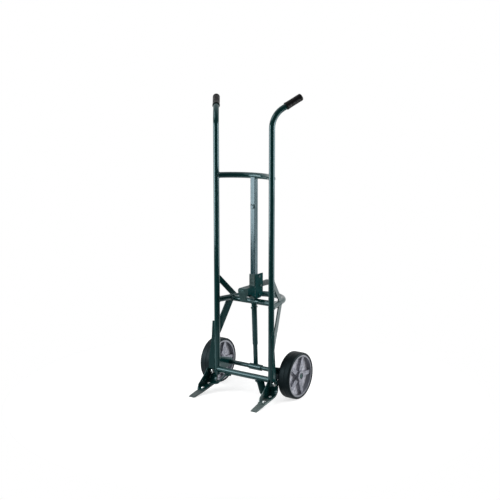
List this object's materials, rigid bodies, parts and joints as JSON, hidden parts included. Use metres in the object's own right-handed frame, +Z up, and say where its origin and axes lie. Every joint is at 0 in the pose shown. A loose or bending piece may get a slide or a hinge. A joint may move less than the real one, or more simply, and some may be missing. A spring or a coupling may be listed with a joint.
{
  "type": "drum trolley",
  "caption": "Two-wheeled drum trolley: upright tube frame with splayed handles, prong toes, rear hoop and a chime hook that slides on a centre bar.",
  "frame": {"origin": "on the floor, under the middle of the trolley's bounding box, standing upright", "axes": "+X to the right of someone who faces the load side, +Y back, away from the load, +Z up"},
  "size_m": [0.5936, 0.491, 1.6199],
  "materials": {
    "frame_paint": "gloss",
    "bar_paint": "gloss",
    "blade_steel": "worn",
    "zinc": "zinc plated",
    "grip_vinyl": "matte",
    "tyre_rubber": "matte",
    "cast_aluminium": "cast",
    "bush_bronze": "machined"
  },
  "bodies": {
    "frame": {"axle": "frame_paint", "axle_tee": "frame_paint", "bottom_crossbar": "frame_paint", "heel_bolts": "zinc", "heel_nuts": "zinc", "hoop_crossbar": "frame_paint", "left_axle_bracket": "frame_paint", "left_axle_spacer": "frame_paint", "left_axle_washer": "zinc", "left_grip": "grip_vinyl", "left_lower_brace": "frame_paint", "left_rail": "frame_paint", "left_retaining_ring": "zinc", "left_toe_gusset": "frame_paint", "left_toe_prong": "blade_steel", "left_toe_shoe": "frame_paint", "left_upper_brace": "frame_paint", "rear_hoop": "frame_paint", "right_axle_bracket": "frame_paint", "right_axle_spacer": "frame_paint", "right_axle_washer": "zinc", "right_grip": "grip_vinyl", "right_lower_brace": "frame_paint", "right_rail": "frame_paint", "right_retaining_ring": "zinc", "right_toe_gusset": "frame_paint", "right_toe_prong": "blade_steel", "right_toe_shoe": "frame_paint", "right_upper_brace": "frame_paint", "slide_bar": "bar_paint", "slide_stop": "frame_paint", "strut_bolt": "frame_paint", "strut_nut": "frame_paint", "strut_post": "frame_paint", "strut_tube": "frame_paint", "toe_bolts": "zinc", "toe_nuts": "zinc", "upper_crossbar": "frame_paint"},
    "hook": {"hook_sleeve": "frame_paint", "chime_hook": "frame_paint", "guide_pins": "frame_paint", "lever_pin": "frame_paint"},
    "lever": {"lock_lever": "blade_steel"},
    "left_wheel": {"left_tyre": "tyre_rubber", "left_wheel_centre": "cast_aluminium", "left_wheel_bush": "bush_bronze"},
    "right_wheel": {"right_tyre": "tyre_rubber", "right_wheel_centre": "cast_aluminium", "right_wheel_bush": "bush_bronze"}
  },
  "joints": [
    {"name": "left_wheel_spin", "type": "hinge", "parent": "frame", "child": "left_wheel", "pos_m": [-0.26, 0.07415, 0.127], "axis": [1, 0, 0], "continuous": true},
    {"name": "right_wheel_spin", "type": "hinge", "parent": "frame", "child": "right_wheel", "pos_m": [0.26, 0.07415, 0.127], "axis": [1, 0, 0], "continuous": true},
    {"name": "hook_slide", "type": "slide", "parent": "frame", "child": "hook", "axis": [0, 0, 1], "range_m": [0, 0.358]},
    {"name": "lever_lift", "type": "hinge", "parent": "hook", "child": "lever", "pos_m": [0, 0.0905, 0.5883], "axis": [1, 0, 0], "range_deg": [0, 20]}
  ]
}
